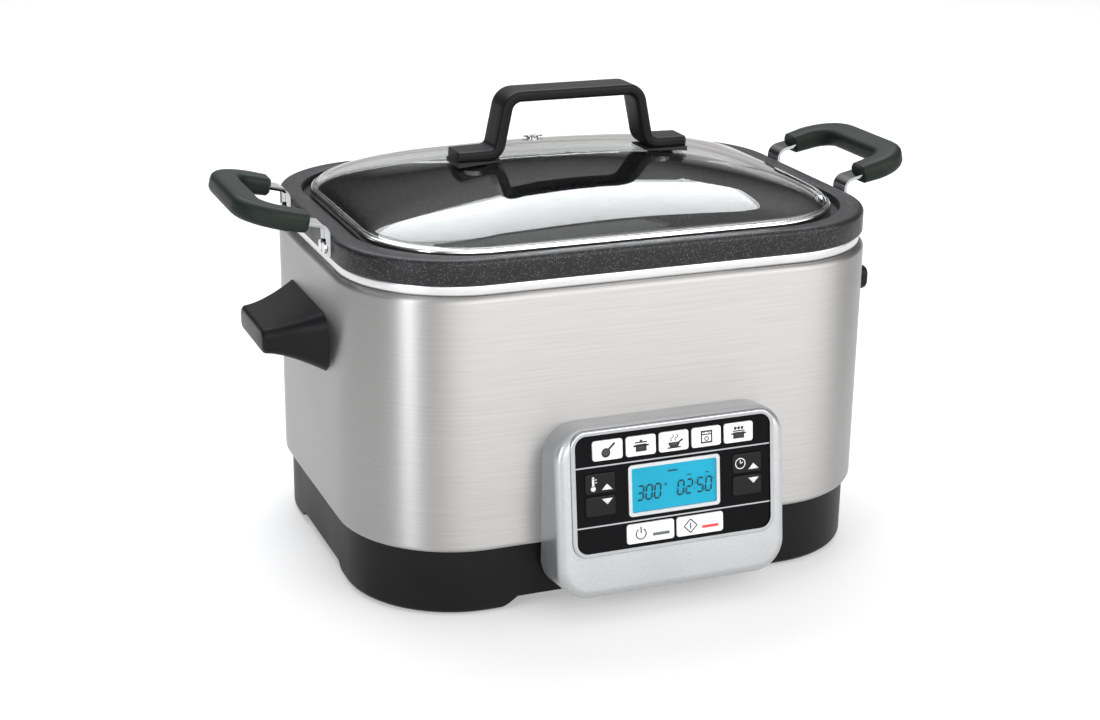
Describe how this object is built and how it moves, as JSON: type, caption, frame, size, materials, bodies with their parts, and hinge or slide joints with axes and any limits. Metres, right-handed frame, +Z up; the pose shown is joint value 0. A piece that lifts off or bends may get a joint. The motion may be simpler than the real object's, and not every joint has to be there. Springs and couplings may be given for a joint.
{
  "type": "slow cooker",
  "caption": "Rectangular digital slow cooker: brushed steel body, lift-out metal pot with side grips, domed glass lid and a leaning front control panel.",
  "frame": {"origin": "on the table, in the plane of the four foot pads, under the middle of the outer box", "axes": "+Z up, +X across the handles, -Y towards the control panel at the front"},
  "size_m": [0.4232, 0.2788, 0.2735],
  "materials": {
    "wrap_steel": "brushed along the level, fine grain",
    "black_plastic": "satin moulded plastic",
    "plain_steel": "zinc coated sheet",
    "screw_steel": "bright zinc",
    "foot_rubber": "soft silicone rubber",
    "gland_rubber": "moulded rubber",
    "well_aluminium": "deep-drawn sheet",
    "heater_aluminium": "die cast",
    "element_steel": "sheathed tube",
    "fuse_ceramic": "plain ceramic",
    "board_green": "solder mask",
    "relay_blue": "moulded case",
    "transformer_iron": "lacquered core",
    "ring_metal": "bright rolled",
    "silver_plastic": "silver lacquer, satin",
    "chrome_trim": "bright plated",
    "gloss_black": "high gloss",
    "silver_trim": "silver lacquer",
    "display_glass": "clear window",
    "display_blue": "backlit liquid crystal",
    "switch_black": "moulded",
    "key_white": "satin",
    "key_black": "satin gloss",
    "light_green": "translucent bar",
    "light_red": "translucent bar",
    "pot_coating": "cast aluminium with a speckled dark non-stick coating",
    "grip_plastic": "soft matt",
    "lid_glass": "tempered, clear",
    "rim_steel": "polished"
  },
  "bodies": {
    "base": {"steel_wrap": "wrap_steel", "base_shell": "black_plastic", "bottom_cover": "plain_steel", "cover_screws": "screw_steel", "foot_pads": "foot_rubber", "cord_gland": "gland_rubber", "heat_well": "well_aluminium", "heater_plate": "heater_aluminium", "heating_element": "element_steel", "temperature_sensor": "element_steel", "thermal_fuse": "fuse_ceramic", "heat_shield": "plain_steel", "support_posts": "screw_steel", "shield_spacers": "screw_steel", "board_standoffs": "screw_steel", "power_board": "board_green", "heater_relay": "relay_blue", "transformer": "transformer_iron", "terminal_block": "board_green", "smoothing_capacitor": "relay_blue", "seat_ring": "ring_metal", "side_handle_right": "black_plastic", "side_handle_left": "black_plastic", "side_handle_screws": "screw_steel", "panel_housing": "silver_plastic", "panel_frame": "chrome_trim", "panel_fascia": "gloss_black", "panel_lines": "chrome_trim", "display_frame": "silver_trim", "display_lens": "display_glass", "display_module": "display_blue", "control_board": "board_green", "key_switches": "switch_black"},
    "pot": {"cooking_pot": "pot_coating", "pot_bracket_right": "chrome_trim", "pot_bracket_left": "chrome_trim", "pot_rivets_right": "screw_steel", "pot_rivets_left": "screw_steel", "pot_grip_right": "grip_plastic", "pot_grip_left": "grip_plastic"},
    "lid": {"lid_glass": "lid_glass", "lid_rim": "rim_steel", "lid_handle": "black_plastic", "lid_gaskets": "foot_rubber", "lid_washers": "gland_rubber", "lid_screws": "screw_steel", "vent_eyelet": "rim_steel"},
    "mode_key_1": {"mode_key_1": "key_white"},
    "mode_key_2": {"mode_key_2": "key_white"},
    "mode_key_3": {"mode_key_3": "key_white"},
    "mode_key_4": {"mode_key_4": "key_white"},
    "mode_key_5": {"mode_key_5": "key_white"},
    "temperature_up_key": {"temperature_up_key": "key_black"},
    "temperature_down_key": {"temperature_down_key": "key_black"},
    "time_up_key": {"time_up_key": "key_black"},
    "time_down_key": {"time_down_key": "key_black"},
    "power_key": {"power_key": "key_white", "power_light_lens": "light_green"},
    "start_key": {"start_key": "key_white", "start_light_lens": "light_red"}
  },
  "joints": [
    {"name": "pot_lift", "type": "slide", "parent": "base", "child": "pot", "axis": [0, 0, 1], "range_m": [0, 0.25]},
    {"name": "lid_lift", "type": "slide", "parent": "pot", "child": "lid", "axis": [0, 0, 1], "range_m": [0, 0.2]},
    {"name": "mode_key_1_press", "type": "slide", "parent": "base", "child": "mode_key_1", "axis": [0, 0.9925, -0.1219], "range_m": [0, 0.0008], "stiffness_N_per_m": 800},
    {"name": "mode_key_2_press", "type": "slide", "parent": "base", "child": "mode_key_2", "axis": [0, 0.9925, -0.1219], "range_m": [0, 0.0008], "stiffness_N_per_m": 800},
    {"name": "mode_key_3_press", "type": "slide", "parent": "base", "child": "mode_key_3", "axis": [0, 0.9925, -0.1219], "range_m": [0, 0.0008], "stiffness_N_per_m": 800},
    {"name": "mode_key_4_press", "type": "slide", "parent": "base", "child": "mode_key_4", "axis": [0, 0.9925, -0.1219], "range_m": [0, 0.0008], "stiffness_N_per_m": 800},
    {"name": "mode_key_5_press", "type": "slide", "parent": "base", "child": "mode_key_5", "axis": [0, 0.9925, -0.1219], "range_m": [0, 0.0008], "stiffness_N_per_m": 800},
    {"name": "temperature_up_key_press", "type": "slide", "parent": "base", "child": "temperature_up_key", "axis": [0, 0.9925, -0.1219], "range_m": [0, 0.0008], "stiffness_N_per_m": 800},
    {"name": "temperature_down_key_press", "type": "slide", "parent": "base", "child": "temperature_down_key", "axis": [0, 0.9925, -0.1219], "range_m": [0, 0.0008], "stiffness_N_per_m": 800},
    {"name": "time_up_key_press", "type": "slide", "parent": "base", "child": "time_up_key", "axis": [0, 0.9925, -0.1219], "range_m": [0, 0.0008], "stiffness_N_per_m": 800},
    {"name": "time_down_key_press", "type": "slide", "parent": "base", "child": "time_down_key", "axis": [0, 0.9925, -0.1219], "range_m": [0, 0.0008], "stiffness_N_per_m": 800},
    {"name": "power_key_press", "type": "slide", "parent": "base", "child": "power_key", "axis": [0, 0.9925, -0.1219], "range_m": [0, 0.0008], "stiffness_N_per_m": 800},
    {"name": "start_key_press", "type": "slide", "parent": "base", "child": "start_key", "axis": [0, 0.9925, -0.1219], "range_m": [0, 0.0008], "stiffness_N_per_m": 800}
  ]
}
